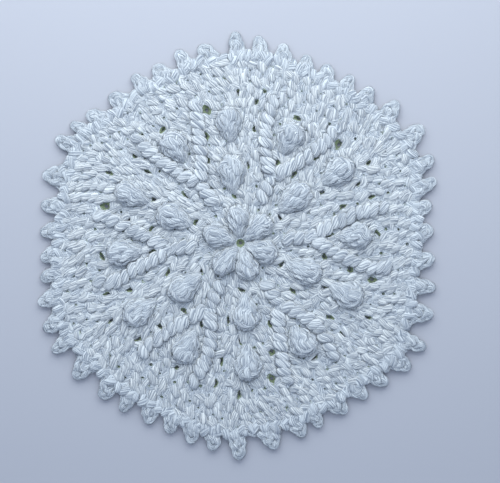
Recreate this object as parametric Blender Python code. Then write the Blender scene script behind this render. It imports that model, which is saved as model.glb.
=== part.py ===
"""A crocheted cotton dishcloth, lying flat with its right side up.

It is one piece, worked in eight rounds from the middle into a hexagon with full, rounded
sides. Popcorn stitches and six forked ribs of raised posts stand up from the ground, small
gaps go right through it between the stitches, and pointed chain picots edge it.

The tables give lengths in millimetres from the middle of the cloth, and angles in degrees
anticlockwise from +X, seen from above. The underside lies at Z = 0. The finished cloth is
moved a little, so that the origin is in the middle of its length and of its width.
"""

import math

import bmesh
import bpy
from mathutils import Vector
from mathutils.geometry import delaunay_2d_cdt

MM = 0.001

# Driving dimensions, in millimetres
GROUND_THICK = 4.2        # two layers of yarn cross in every stitch of the ground
EDGE_THICK = 2.8          # one strand and a little more, at the rim and round the gaps
ROUND_HIGH = 12.4         # from one round of stitches to the next
ROUND_SWELL = 0.35        # the top of a round stands this much over its foot
POPCORN_RISE = 5.6        # popcorns over the ground
RIB_RISE = 2.6            # raised posts over the ground
RIB_HALF_WIDTH = 2.9
POPCORN_EGG = 0.2         # a popcorn is this share wider at its outer end than in its middle
MIDDLE_HOLE = 2.0         # radius of the ring that the first round closes

# Spacing of the surface points, in millimetres
GROUND_RINGS = 16
GROUND_STEP = 5.0
RIB_STEP = 4.2
PICOT_CROWN = 3.6         # from a picot's tip to the point on its raised middle
PICOT_FOOT = 1.0          # from the dip beside it to the point at its foot
CLOSEST = 1.5             # nearest that two points may lie

# The picots: one row each, anticlockwise from +X.
# Columns: angle of the tip, radius of the tip, depth of the dip after it
PICOTS = (
    (4.5, 98.9, 5.7), (11.4, 100.2, 6.2), (17.4, 105.6, 7.4), (23.6, 108.7, 8.0),
    (33.4, 111.5, 8.2), (42.4, 108.7, 6.6), (50.0, 104.5, 6.4), (56.3, 103.0, 6.4),
    (63.6, 102.2, 6.0), (70.2, 102.0, 6.2), (77.9, 104.5, 7.0), (84.8, 106.6, 7.4),
    (91.5, 108.9, 8.0), (101.6, 104.0, 6.4), (107.6, 104.5, 6.6), (116.0, 101.5, 6.4),
    (122.3, 102.0, 6.2), (131.9, 101.5, 7.2), (139.7, 103.5, 6.2), (144.0, 106.3, 5.0),
    (150.4, 109.2, 8.0), (162.0, 107.4, 8.4), (169.5, 104.5, 7.6), (177.0, 102.7, 6.2),
    (184.4, 102.3, 5.2), (189.6, 104.4, 6.2), (196.9, 107.9, 6.0), (204.0, 110.2, 6.7),
    (209.8, 111.5, 8.4), (220.0, 110.0, 8.0), (228.8, 107.3, 6.8), (234.5, 105.7, 7.0),
    (243.0, 104.2, 7.4), (249.2, 104.5, 6.4), (256.0, 106.1, 6.8), (262.4, 107.6, 7.4),
    (270.0, 112.0, 8.6), (280.5, 107.4, 7.0), (288.2, 104.5, 6.0), (293.0, 103.0, 6.4),
    (302.2, 102.5, 6.2), (309.1, 102.3, 6.5), (315.8, 104.5, 6.0), (324.0, 108.2, 6.2),
    (330.0, 109.7, 8.6), (340.1, 105.7, 8.6), (347.1, 103.0, 8.2), (355.7, 100.1, 6.2),
)

# A picot's own points, from its long slope over its blunt tip to its steep side.
# Columns: degrees past the tip's angle, share of the climb from the dip to the tip
PICOT_SHAPE = ((-2.4, 0.62), (-0.8, 0.95), (0.5, 0.97), (1.4, 0.45))
DIP_PAST_TIP = 1.9        # degrees

# Tips further apart than this, in degrees, have a bare run of chain between them
BARE_RUN = 8.4
BARE_RUN_END = 4.6        # degrees before the next tip
BARE_RUN_RISE = 0.8       # its end over its start

# The popcorn stitches: four rows for each side of the hexagon.
# Columns: angle, radius of the inner end, radius of the outer end, width
POPCORNS = (
    (40.0, 3.4, 19.6, 10.6), (39.6, 26.0, 45.3, 12.6), (36.0, 52.0, 70.6, 12.6), (3.6, 50.6, 67.2, 12.2),
    (96.0, 3.4, 19.4, 10.4), (97.0, 26.0, 45.3, 12.4), (95.4, 52.0, 70.0, 12.0), (64.8, 50.6, 67.6, 12.4),
    (162.0, 3.4, 19.8, 10.6), (158.8, 27.0, 45.6, 12.4), (155.8, 52.0, 69.6, 11.8), (124.0, 50.6, 67.6, 12.2),
    (230.0, 3.4, 19.6, 10.6), (218.2, 26.4, 45.4, 12.6), (214.0, 53.0, 71.0, 12.2), (184.5, 50.6, 68.4, 12.2),
    (285.0, 3.4, 19.4, 10.4), (274.5, 26.0, 45.0, 12.2), (273.6, 52.0, 70.4, 12.4), (242.6, 50.6, 68.6, 12.2),
    (340.0, 3.4, 19.6, 10.6), (336.6, 25.8, 44.6, 12.4), (334.4, 51.0, 69.0, 12.4), (301.8, 50.6, 67.2, 12.4),
)

# The ribs run out straight and then fork round a popcorn.
# Columns: angle of the straight part, then how many degrees the arm on the smaller-angle
# side lies off it at each of RIB_RADII, then the same for the arm on the larger-angle side
RIB_START = 21.5
RIB_FORK = 37.0
RIB_RADII = (44.0, 56.0, 68.0, 77.0)
RIBS = (
    (4.8, (-8.0, -13.5, -15.5, -14.0), (5.0, 8.5, 9.5, 8.5)),
    (64.8, (-6.5, -12.5, -15.0, -14.5), (7.0, 12.0, 13.0, 11.0)),
    (124.0, (-7.0, -12.0, -15.0, -16.5), (6.0, 9.5, 11.0, 10.0)),
    (184.5, (-6.0, -11.5, -15.0, -16.0), (6.0, 9.5, 12.5, 9.5)),
    (244.0, (-6.5, -12.5, -15.5, -16.0), (5.5, 9.5, 8.5, 6.5)),
    (302.0, (-6.0, -10.5, -13.0, -13.0), (6.5, 10.5, 9.5, 6.0)),
)

# The gaps that go right through, about twelve for each side of the hexagon.
# Columns: angle, radius, length, width, turn of the length from the radius
GAPS = (
    (33.3, 24.0, 4.4, 2.4, 90.0), (32.0, 49.4, 4.2, 3.0, 0.0), (5.4, 45.2, 4.2, 3.0, 0.0),
    (32.0, 77.3, 4.0, 2.2, 0.0), (3.8, 70.2, 6.0, 2.0, 115.0), (45.0, 71.4, 5.4, 4.0, 0.0),
    (48.6, 59.2, 4.4, 2.4, 0.0), (52.3, 44.8, 4.2, 2.4, 0.0), (26.6, 67.0, 4.4, 2.0, 0.0),
    (19.4, 55.6, 4.4, 2.0, 0.0), (19.6, 71.0, 4.6, 2.2, 0.0), (24.5, 39.6, 4.4, 2.0, 0.0),
    (94.5, 24.0, 4.2, 2.4, 90.0), (92.7, 49.4, 4.4, 3.0, 0.0), (65.7, 45.3, 4.2, 3.0, 0.0),
    (91.0, 77.3, 4.0, 2.2, 0.0), (65.0, 70.4, 5.6, 2.0, 100.0), (104.2, 70.4, 5.6, 4.0, 0.0),
    (108.0, 57.6, 4.8, 2.8, 0.0), (111.6, 45.3, 4.2, 2.4, 0.0), (83.0, 58.8, 4.4, 2.0, 0.0),
    (83.6, 73.0, 4.4, 2.2, 0.0), (84.6, 40.2, 4.2, 2.0, 0.0),
    (154.8, 25.0, 4.6, 2.6, 90.0), (153.2, 49.6, 4.2, 3.0, 0.0), (127.2, 45.2, 4.4, 2.8, 15.0),
    (151.8, 76.4, 4.2, 2.0, 0.0), (124.3, 70.4, 5.0, 2.0, 110.0), (164.6, 71.4, 5.6, 4.2, 0.0),
    (168.0, 58.4, 4.2, 2.4, 60.0), (170.8, 45.6, 4.2, 2.4, 60.0), (142.6, 59.8, 5.4, 2.0, 0.0),
    (140.4, 69.8, 4.2, 2.0, 0.0), (138.8, 37.0, 5.0, 2.0, 0.0),
    (213.2, 24.6, 4.6, 2.6, 90.0), (212.4, 50.0, 4.4, 2.8, 0.0), (186.0, 45.4, 4.2, 2.6, 0.0),
    (210.9, 77.2, 4.2, 2.2, 0.0), (185.6, 71.2, 6.0, 2.0, 115.0), (223.0, 72.0, 5.4, 4.0, 0.0),
    (226.0, 59.4, 4.4, 2.4, 120.0), (230.0, 45.2, 4.2, 2.4, 110.0), (202.8, 61.3, 4.6, 2.0, 0.0),
    (201.0, 73.0, 5.0, 2.2, 0.0), (202.0, 40.0, 4.2, 2.0, 60.0),
    (272.0, 24.0, 4.4, 2.4, 90.0), (270.0, 49.4, 4.4, 2.8, 0.0), (244.4, 46.0, 4.6, 2.4, 15.0),
    (269.5, 77.2, 4.2, 2.2, 0.0), (243.0, 71.4, 5.2, 2.0, 110.0), (283.0, 71.4, 5.6, 4.0, 0.0),
    (286.2, 57.7, 5.0, 2.8, 0.0), (290.5, 44.0, 4.2, 2.6, 0.0), (261.0, 40.0, 4.2, 2.0, 0.0),
    (260.8, 61.0, 4.4, 2.0, 0.0), (260.0, 73.0, 4.4, 2.0, 0.0),
    (332.6, 23.8, 4.8, 2.4, 90.0), (331.7, 48.4, 4.2, 3.0, 0.0), (305.4, 45.4, 4.6, 2.4, 15.0),
    (329.6, 75.6, 4.2, 2.2, 0.0), (303.0, 69.8, 5.6, 2.0, 110.0), (344.4, 70.0, 4.6, 3.6, 0.0),
    (346.6, 57.6, 4.8, 2.6, 120.0), (351.0, 43.4, 4.2, 2.2, 120.0), (320.2, 59.4, 4.4, 2.2, 0.0),
    (318.0, 36.4, 4.8, 2.0, 0.0), (318.4, 70.6, 4.2, 2.0, 0.0),
)
GAP_CORNERS = 5
MIDDLE_CORNERS = 8


def polar(angle, radius):
    """A plan point from its angle and radius."""
    turn = math.radians(angle)
    return Vector((radius * math.cos(turn), radius * math.sin(turn)))


def outline_points():
    """The rim, anticlockwise: the dip before each picot, and then the picot."""
    points = []
    for row, (angle, tip, _) in enumerate(PICOTS):
        before_angle, before_tip, dip = PICOTS[row - 1]
        foot = min(tip, before_tip) - dip
        points.append(polar(before_angle + DIP_PAST_TIP, foot))
        if (angle - before_angle) % 360.0 > BARE_RUN:
            foot += BARE_RUN_RISE
            points.append(polar(angle - BARE_RUN_END, foot))
        for past, climb in PICOT_SHAPE:
            points.append(polar(angle + past, foot + climb * (tip - foot)))
    return points


def gap_points(angle, radius, length, width, turn):
    """One gap, anticlockwise: a small, slightly pointed loop."""
    middle = polar(angle, radius)
    along = polar(angle + turn, 1.0)
    across = polar(angle + turn + 90.0, 1.0)
    points = []
    for corner in range(GAP_CORNERS):
        bearing = 2.0 * math.pi * corner / GAP_CORNERS
        points.append(
            middle
            + along * (0.5 * length * math.cos(bearing))
            + across * (0.5 * width * math.sin(bearing))
        )
    return points


def middle_hole_points():
    """The small hole in the middle that the first round is worked into."""
    return [polar(360.0 * corner / MIDDLE_CORNERS, MIDDLE_HOLE) for corner in range(MIDDLE_CORNERS)]


def rib_lines():
    """Each rib as three lines in plan: the straight part and its two arms."""
    lines = []
    for middle, smaller, larger in RIBS:
        fork = polar(middle, RIB_FORK)
        lines.append([polar(middle, RIB_START), fork])
        for arm in (smaller, larger):
            bends = [polar(middle + off, radius) for off, radius in zip(arm, RIB_RADII)]
            lines.append([fork] + bends)
    return lines


def rib_segments():
    """The ribs' straight stretches, as pairs of plan points."""
    segments = []
    for line in rib_lines():
        segments.extend(zip(line[:-1], line[1:]))
    return segments


def rib_points():
    """Points along each rib: its crest, then the shoulder and the foot on either side."""
    points = []
    for start, end in rib_segments():
        run = end - start
        across = Vector((-run.y, run.x)).normalized() * RIB_HALF_WIDTH
        steps = max(1, round(run.length / RIB_STEP))
        for step in range(steps + 1):
            crest = start + run * (step / steps)
            points.append(crest)
            for share in (0.62, 1.06):
                points.extend((crest + across * share, crest - across * share))
    return points


def popcorn_points():
    """Points on each popcorn: its crown and four rings down to its foot."""
    # Columns: distance from the crown as a share of the whole, number of points
    rings = ((0.0, 1), (0.36, 6), (0.66, 10), (0.9, 14), (1.06, 16))
    points = []
    for angle, inner, outer, width in POPCORNS:
        middle = polar(angle, 0.5 * (inner + outer))
        along = polar(angle, 0.5 * (outer - inner))
        across = polar(angle + 90.0, 0.5 * width)
        for share, count in rings:
            for step in range(count):
                bearing = 2.0 * math.pi * step / count
                forward = share * math.cos(bearing)
                sideways = share * math.sin(bearing) * (1.0 + POPCORN_EGG * forward)
                points.append(middle + along * forward + across * sideways)
    return points


def picot_points():
    """A point inside each picot, and one at its foot, for its raised middle."""
    points = []
    for angle, tip, dip in PICOTS:
        points.append(polar(angle - 0.5, tip - PICOT_CROWN))
        points.append(polar(angle - 1.6, tip - dip - PICOT_FOOT))
    return points


def ground_points():
    """Rings of points over the whole cloth, two for each round of stitches."""
    points = []
    for ring in range(1, GROUND_RINGS + 1):
        radius = 0.5 * ROUND_HIGH * ring
        count = round(2.0 * math.pi * radius / GROUND_STEP)
        shift = 0.5 * (ring % 2)
        for step in range(count):
            points.append(polar(360.0 * (step + shift) / count, radius))
    return points


def distance_to_segment(point, start, end):
    """How far a plan point lies from a straight stretch."""
    run = end - start
    share = (point - start).dot(run) / run.length_squared
    share = min(1.0, max(0.0, share))
    return (point - start - run * share).length


def height(point, segments):
    """Height of the right side over the underside at a plan point."""
    swell = ROUND_SWELL * math.cos(2.0 * math.pi * point.length / ROUND_HIGH)
    highest = GROUND_THICK + swell
    for start, end in segments:
        share = distance_to_segment(point, start, end) / RIB_HALF_WIDTH
        if share < 1.0:
            highest = max(highest, GROUND_THICK + RIB_RISE * math.sqrt(1.0 - share * share))
    for angle, inner, outer, width in POPCORNS:
        offset = point - polar(angle, 0.5 * (inner + outer))
        forward = offset.dot(polar(angle, 1.0)) / (0.5 * (outer - inner))
        half_width = 0.5 * width * (1.0 + POPCORN_EGG * forward)
        sideways = offset.dot(polar(angle + 90.0, 1.0)) / half_width
        share = forward * forward + sideways * sideways
        if share < 1.0:
            highest = max(highest, GROUND_THICK + POPCORN_RISE * math.sqrt(1.0 - share))
    return highest


def space_out(wanted, kept):
    """The wanted points that lie no closer than CLOSEST to one kept before them."""
    cells = {}

    def cell_of(point):
        return (math.floor(point.x / CLOSEST), math.floor(point.y / CLOSEST))

    for point in kept:
        cells.setdefault(cell_of(point), []).append(point)
    chosen = []
    for point in wanted:
        column, row = cell_of(point)
        near = []
        for side in (-1, 0, 1):
            for end in (-1, 0, 1):
                near.extend(cells.get((column + side, row + end), []))
        if all((point - other).length >= CLOSEST for other in near):
            cells.setdefault((column, row), []).append(point)
            chosen.append(point)
    return chosen


def triangulate(loops, inside):
    """Triangles between the rim, which is the first loop, and the gaps, which are the rest."""
    points = []
    faces = []
    for loop in loops:
        faces.append(list(range(len(points), len(points) + len(loop))))
        points.extend(loop)
    points.extend(inside)
    placed, _, triangles, from_points, _, from_faces = delaunay_2d_cdt(points, [], faces, 1, 0.001)
    wanted = [triangle for triangle, source in zip(triangles, from_faces) if source == [0]]
    source_of = {}
    for index, sources in enumerate(from_points):
        if sources:
            source_of[index] = sources[0]
    return placed, wanted, source_of


def dishcloth_mesh():
    """The cloth as one closed body: right side, flat underside, and walls between them."""
    loops = [outline_points(), middle_hole_points()]
    loops.extend(gap_points(*row) for row in GAPS)
    rim = [point for loop in loops for point in loop]
    inside = []
    for group in (popcorn_points(), rib_points(), picot_points(), ground_points()):
        inside.extend(space_out(group, rim + inside))

    segments = rib_segments()
    mesh = bmesh.new()
    walls = {}
    for side in ("top", "bottom"):
        placed, triangles, source_of = triangulate(loops, inside if side == "top" else [])
        corners = {}
        for index in sorted({index for triangle in triangles for index in triangle}):
            point = placed[index]
            on_rim = source_of.get(index, len(rim)) < len(rim)
            if side == "bottom":
                high = 0.0
            elif on_rim:
                high = EDGE_THICK
            else:
                high = height(point, segments)
            corners[index] = mesh.verts.new((point.x * MM, point.y * MM, high * MM))
            if on_rim:
                walls[side, source_of[index]] = corners[index]
        for triangle in triangles:
            ring = [corners[index] for index in triangle]
            mesh.faces.new(ring if side == "top" else ring[::-1])

    first = 0
    for loop in loops:
        for step in range(len(loop)):
            here = first + step
            there = first + (step + 1) % len(loop)
            mesh.faces.new(
                (walls["bottom", here], walls["bottom", there], walls["top", there], walls["top", here])
            )
        first += len(loop)
    bmesh.ops.recalc_face_normals(mesh, faces=mesh.faces)
    bmesh.ops.triangulate(mesh, faces=mesh.faces)
    return mesh


def cotton():
    """White cotton yarn."""
    material = bpy.data.materials.new("white cotton")
    material.use_nodes = True
    shader = material.node_tree.nodes["Principled BSDF"]
    shader.inputs["Base Color"].default_value = (0.80, 0.82, 0.86, 1.0)
    shader.inputs["Roughness"].default_value = 0.95
    shader.inputs["Metallic"].default_value = 0.0
    return material


def build_dishcloth():
    """The dishcloth as one object."""
    mesh = dishcloth_mesh()
    data = bpy.data.meshes.new("dishcloth")
    mesh.to_mesh(data)
    mesh.free()
    data.materials.append(cotton())
    data.shade_smooth()
    data.set_sharp_from_angle(angle=math.radians(50.0))
    cloth = bpy.data.objects.new("dishcloth", data)
    rim = outline_points()
    across = [point.x for point in rim]
    along = [point.y for point in rim]
    cloth.location.x = -0.5 * (min(across) + max(across)) * MM
    cloth.location.y = -0.5 * (min(along) + max(along)) * MM
    bpy.context.collection.objects.link(cloth)
    return cloth


for leftover in list(bpy.data.objects):
    bpy.data.objects.remove(leftover)

build_dishcloth()
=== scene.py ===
import math

import bmesh
import bpy
import mathutils.kdtree
import numpy as np
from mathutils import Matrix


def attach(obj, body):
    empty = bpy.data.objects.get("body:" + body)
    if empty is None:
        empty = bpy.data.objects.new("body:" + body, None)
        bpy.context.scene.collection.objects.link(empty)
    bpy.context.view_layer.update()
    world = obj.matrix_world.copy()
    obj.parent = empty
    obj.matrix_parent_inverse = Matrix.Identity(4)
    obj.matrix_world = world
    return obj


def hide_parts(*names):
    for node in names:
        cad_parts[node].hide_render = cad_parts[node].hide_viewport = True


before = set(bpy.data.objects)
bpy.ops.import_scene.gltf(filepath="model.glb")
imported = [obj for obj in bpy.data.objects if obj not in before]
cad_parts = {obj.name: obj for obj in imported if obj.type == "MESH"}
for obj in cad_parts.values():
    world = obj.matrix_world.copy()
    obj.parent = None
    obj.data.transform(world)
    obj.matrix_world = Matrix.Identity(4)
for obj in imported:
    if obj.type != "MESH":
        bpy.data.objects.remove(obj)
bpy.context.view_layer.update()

# The rounds of stitches. A crocheted dishcloth is one continuous length of soft plied white cotton
# yarn, worked from a hole in the middle into a rounded hexagon. Round k has twelve stitches times
# k, two more at each corner than the round before, and each is hooked into the round below.

# Distances are in millimetres from the middle of the hole, and angles in degrees anticlockwise
# from the right. The yarn's section is a circle, whose points turn with the plies, pressed flat to
# an oval. RING_STEP is the length of yarn from one ring of points to the next, STRIP_EDGE the bare
# edge of a strip in the yarn's map, and LIE the height of its axis where it lies on the table.
MM = 0.001
YARN_RADIUS = 1.2
YARN_FLAT = 0.52
YARN_SPREAD = 1.48
YARN_SIDES = 8
PLIES = 9
PLY_TURN = 20.0
RING_STEP = 1.08
CURVE_PARTS = 6
STRIP_EDGE = 0.04
LIE = 0.98 * YARN_RADIUS

# How high and wide the stitches are, and how far out the rounds take on the shape of the edge
ROUNDS = 8
ROUND_HIGH = 12.4
STITCH_WIDE = 6.2
CORNERS = (33.3, 91.5, 150.6, 210.0, 270.0, 330.2)
EDGE_AT_CORNER = 104.0
EDGE_FOLLOW = 0.7
CORNER_SPREAD = 1.7
CORNER_FOOT = 0.5
MIDDLE_HOLE = 2.1
FIRST_FOOT = 2.2
FIRST_FOOT_WIDE = 0.3

# Columns: angle of the tip, radius of the tip, depth of the dip after it (anticlockwise)
PICOTS = (
    (4.5, 98.9, 5.7), (11.4, 100.2, 6.2), (17.4, 105.6, 7.4), (23.6, 108.7, 8.0),
    (33.4, 111.5, 8.2), (42.4, 108.7, 6.6), (50.0, 104.5, 6.4), (56.3, 103.0, 6.4),
    (63.6, 102.2, 6.0), (70.2, 102.0, 6.2), (77.9, 104.5, 7.0), (84.8, 106.6, 7.4),
    (91.5, 108.9, 8.0), (101.6, 104.0, 6.4), (107.6, 104.5, 6.6), (116.0, 101.5, 6.4),
    (122.3, 102.0, 6.2), (131.9, 101.5, 7.2), (139.7, 103.5, 6.2), (144.0, 106.3, 5.0),
    (150.4, 109.2, 8.0), (162.0, 107.4, 8.4), (169.5, 104.5, 7.6), (177.0, 102.7, 6.2),
    (184.4, 102.3, 5.2), (189.6, 104.4, 6.2), (196.9, 107.9, 6.0), (204.0, 110.2, 6.7),
    (209.8, 111.5, 8.4), (220.0, 110.0, 8.0), (228.8, 107.3, 6.8), (234.5, 105.7, 7.0),
    (243.0, 104.2, 7.4), (249.2, 104.5, 6.4), (256.0, 106.1, 6.8), (262.4, 107.6, 7.4),
    (270.0, 112.0, 8.6), (280.5, 107.4, 7.0), (288.2, 104.5, 6.0), (293.0, 103.0, 6.4),
    (302.2, 102.5, 6.2), (309.1, 102.3, 6.5), (315.8, 104.5, 6.0), (324.0, 108.2, 6.2),
    (330.0, 109.7, 8.6), (340.1, 105.7, 8.6), (347.1, 103.0, 8.2), (355.7, 100.1, 6.2),
)
DIP_PAST_TIP = 1.9
EDGE_BLEND = 7.0

# How high the tops of each kind of stitch stand, how wide a rib is, and how egg-shaped a popcorn
GROUND_HIGH = 5.1
PICOT_HIGH = 4.2
RIB_HIGH = 6.8
RIB_HALF_WIDTH = 3.4
POPCORN_HIGH = 9.8
POPCORN_EGG = 0.2
# How far what lies under a popcorn or a rib is pressed down, and how sharply that fades
PRESSED = 0.62
COVER_FADE = 5.0
# The depth under the tops at which a crevice's painted shade is full, and the height over the
# table below which it fades away again
CREVICE_DEEP = 5.7
CREVICE_FLOOR = 3.2
# The girth of buried yarn and of yarn that shows, and the heights between which it swells
THIN = 0.70
THICK = 1.24
SWELL_FROM = 2.2
SWELL_TO = 3.65
# How a stitch is carried over from its table: the height there of a strand that lies flat, how far
# its heights are pressed, and the share of the way up where its width is that of the top. Then how
# unevenly its feet, its top and its loops lie
STITCH_LIE = 1.15
STITCH_PRESS = 0.74
STITCH_HELD = 1.15
FOOT_DRIFT = 0.4
TOP_JOG = 0.6
LOOP_SPREAD = (0.78, 1.12)
LOOP_LEAN = 0.12
LOOSE = 0.46
LOOSE_UP = 0.6
LOOSE_OWN = 0.6
LOOSE_SHARED = 0.5
# How much room the strands leave round a gap, and how far along the yarn they bend for it
GAP_MARGIN = 1.45
GAP_REACH = 1.6
GAP_FADE = 3.2
GAP_PASSES = 3

# Columns: angle, radius, length, width, turn of the length from the radius
GAPS = (
    (33.3, 24.0, 4.4, 2.4, 90.0), (32.0, 49.4, 4.2, 3.0, 0.0), (5.4, 45.2, 4.2, 3.0, 0.0),
    (32.0, 77.3, 4.0, 2.2, 0.0), (3.8, 70.2, 6.0, 2.0, 115.0), (45.0, 71.4, 5.4, 4.0, 0.0),
    (48.6, 59.2, 4.4, 2.4, 0.0), (52.3, 44.8, 4.2, 2.4, 0.0), (26.6, 67.0, 4.4, 2.0, 0.0),
    (19.4, 55.6, 4.4, 2.0, 0.0), (19.6, 71.0, 4.6, 2.2, 0.0), (24.5, 39.6, 4.4, 2.0, 0.0),
    (94.5, 24.0, 4.2, 2.4, 90.0), (92.7, 49.4, 4.4, 3.0, 0.0), (65.7, 45.3, 4.2, 3.0, 0.0),
    (91.0, 77.3, 4.0, 2.2, 0.0), (65.0, 70.4, 5.6, 2.0, 100.0), (104.2, 70.4, 5.6, 4.0, 0.0),
    (108.0, 57.6, 4.8, 2.8, 0.0), (111.6, 45.3, 4.2, 2.4, 0.0), (83.0, 58.8, 4.4, 2.0, 0.0),
    (83.6, 73.0, 4.4, 2.2, 0.0), (84.6, 40.2, 4.2, 2.0, 0.0),
    (154.8, 25.0, 4.6, 2.6, 90.0), (153.2, 49.6, 4.2, 3.0, 0.0), (127.2, 45.2, 4.4, 2.8, 15.0),
    (151.8, 76.4, 4.2, 2.0, 0.0), (124.3, 70.4, 5.0, 2.0, 110.0), (164.6, 71.4, 5.6, 4.2, 0.0),
    (168.0, 58.4, 4.2, 2.4, 60.0), (170.8, 45.6, 4.2, 2.4, 60.0), (142.6, 59.8, 5.4, 2.0, 0.0),
    (140.4, 69.8, 4.2, 2.0, 0.0), (138.8, 37.0, 5.0, 2.0, 0.0),
    (213.2, 24.6, 4.6, 2.6, 90.0), (212.4, 50.0, 4.4, 2.8, 0.0), (186.0, 45.4, 4.2, 2.6, 0.0),
    (210.9, 77.2, 4.2, 2.2, 0.0), (185.6, 71.2, 6.0, 2.0, 115.0), (223.0, 72.0, 5.4, 4.0, 0.0),
    (226.0, 59.4, 4.4, 2.4, 120.0), (230.0, 45.2, 4.2, 2.4, 110.0), (202.8, 61.3, 4.6, 2.0, 0.0),
    (201.0, 73.0, 5.0, 2.2, 0.0), (202.0, 40.0, 4.2, 2.0, 60.0),
    (272.0, 24.0, 4.4, 2.4, 90.0), (270.0, 49.4, 4.4, 2.8, 0.0), (244.4, 46.0, 4.6, 2.4, 15.0),
    (269.5, 77.2, 4.2, 2.2, 0.0), (243.0, 71.4, 5.2, 2.0, 110.0), (283.0, 71.4, 5.6, 4.0, 0.0),
    (286.2, 57.7, 5.0, 2.8, 0.0), (290.5, 44.0, 4.2, 2.6, 0.0), (261.0, 40.0, 4.2, 2.0, 0.0),
    (260.8, 61.0, 4.4, 2.0, 0.0), (260.0, 73.0, 4.4, 2.0, 0.0),
    (332.6, 23.8, 4.8, 2.4, 90.0), (331.7, 48.4, 4.2, 3.0, 0.0), (305.4, 45.4, 4.6, 2.4, 15.0),
    (329.6, 75.6, 4.2, 2.2, 0.0), (303.0, 69.8, 5.6, 2.0, 110.0), (344.4, 70.0, 4.6, 3.6, 0.0),
    (346.6, 57.6, 4.8, 2.6, 120.0), (351.0, 43.4, 4.2, 2.2, 120.0), (320.2, 59.4, 4.4, 2.2, 0.0),
    (318.0, 36.4, 4.8, 2.0, 0.0), (318.4, 70.6, 4.2, 2.0, 0.0),
)

# Columns: angle, radius of inner end, radius of outer end, width
POPCORNS = (
    (40.0, 3.4, 19.6, 10.6), (39.6, 26.0, 45.3, 12.6),
    (36.0, 52.0, 70.6, 12.6), (3.6, 50.6, 67.2, 12.2),
    (96.0, 3.4, 19.4, 10.4), (97.0, 26.0, 45.3, 12.4),
    (95.4, 52.0, 70.0, 12.0), (64.8, 50.6, 67.6, 12.4),
    (162.0, 3.4, 19.8, 10.6), (158.8, 27.0, 45.6, 12.4),
    (155.8, 52.0, 69.6, 11.8), (124.0, 50.6, 67.6, 12.2),
    (230.0, 3.4, 19.6, 10.6), (218.2, 26.4, 45.4, 12.6),
    (214.0, 53.0, 71.0, 12.2), (184.5, 50.6, 68.4, 12.2),
    (285.0, 3.4, 19.4, 10.4), (274.5, 26.0, 45.0, 12.2),
    (273.6, 52.0, 70.4, 12.4), (242.6, 50.6, 68.6, 12.2),
    (340.0, 3.4, 19.6, 10.6), (336.6, 25.8, 44.6, 12.4),
    (334.4, 51.0, 69.0, 12.4), (301.8, 50.6, 67.2, 12.4),
)
RIB_START = 21.5
RIB_FORK = 37.0
RIB_RADII = (44.0, 56.0, 68.0, 77.0)
# Columns: angle of the straight part, then the angles of the two arms from it at each of RIB_RADII
RIBS = (
    (4.8, (-8.0, -13.5, -15.5, -14.0), (5.0, 8.5, 9.5, 8.5)),
    (64.8, (-6.5, -12.5, -15.0, -14.5), (7.0, 12.0, 13.0, 11.0)),
    (124.0, (-7.0, -12.0, -15.0, -16.5), (6.0, 9.5, 11.0, 10.0)),
    (184.5, (-6.0, -11.5, -15.0, -16.0), (6.0, 9.5, 12.5, 9.5)),
    (244.0, (-6.5, -12.5, -15.5, -16.0), (5.5, 9.5, 8.5, 6.5)),
    (302.0, (-6.0, -10.5, -13.0, -13.0), (6.5, 10.5, 9.5, 6.0)),
)

# One double crochet, worked with the outside of the cloth up. Columns: across, towards the next
# stitch; up from the foot; height.
DOUBLE_CROCHET = (
    # The chain on top
    (-3.1, 12.2, 1.8), (-1.7, 11.7, 3.5), (0.2, 11.4, 4.4), (2.0, 11.8, 4.4), (3.4, 12.6, 3.0),
    (2.4, 13.6, 3.2), (0.4, 13.9, 3.8), (-1.8, 13.5, 3.5), (-2.9, 12.8, 1.8),
    # The upper leg, down and behind
    (-2.9, 12.1, 2.0), (-2.6, 11.0, 3.3), (-1.9, 9.6, 3.7), (-1.2, 8.2, 3.3), (-0.8, 7.2, 2.4),
    (-0.6, 6.5, 1.4), (-1.4, 5.0, 1.05),
    # The middle loop, up and down
    (-0.6, 2.8, 1.4), (-0.8, 3.2, 2.5), (-1.2, 4.3, 3.4), (-1.9, 5.6, 3.7), (-2.6, 7.0, 3.2),
    (-2.4, 8.0, 1.9), (0.2, 8.4, 1.7), (2.8, 8.2, 2.3), (2.8, 7.3, 4.0), (1.8, 6.0, 4.7),
    (0.5, 4.6, 4.5), (-0.4, 3.4, 3.1), (-0.4, 2.8, 1.6), (1.4, 1.4, 1.05), (0.0, -1.2, 1.05),
    (-0.6, -1.8, 1.4),
    # The lower loop, up and down
    (-0.8, -1.4, 2.5), (-1.2, -0.3, 3.5), (-1.9, 1.2, 3.8), (-2.6, 2.7, 3.3), (-2.4, 3.8, 1.9),
    (0.2, 4.2, 1.7), (2.8, 4.0, 2.3), (2.8, 3.0, 4.1), (1.8, 1.6, 4.8), (0.5, 0.1, 4.6),
    (-0.4, -1.1, 3.2), (-0.4, -1.7, 1.6),
    # Behind, and up the other leg
    (1.5, 0.5, 1.05), (0.9, 4.0, 1.2), (-0.4, 6.5, 1.6), (-0.4, 7.3, 3.2), (0.5, 8.5, 4.5),
    (1.8, 9.9, 4.7), (2.8, 11.2, 4.0), (3.0, 12.1, 2.2),
)

# The cotton's colours: the tops of the strands, then painted shade: the greyer blue of popcorns and
# picots, and the olive deep between the stitches. The furrows of the plies, painted darker as shade,
# and their tops are multiplied into them.
COTTON_WHITE = (0.885, 0.885, 0.86, 1.0)
COTTON_SHADE_GREY = (0.80, 0.83, 0.85, 1.0)
COTTON_DEEP_SHADE = (0.32, 0.39, 0.20, 1.0)
SHADE_GREY_AT = 0.5
DEEP_SHADE_AT = 0.9
PLY_FURROW_SHADE = (0.34, 0.375, 0.43, 1.0)
PLY_TOP = (1.0, 1.0, 0.975, 1.0)
FURROW_AT = -0.9
TOP_AT = 1.4
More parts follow.
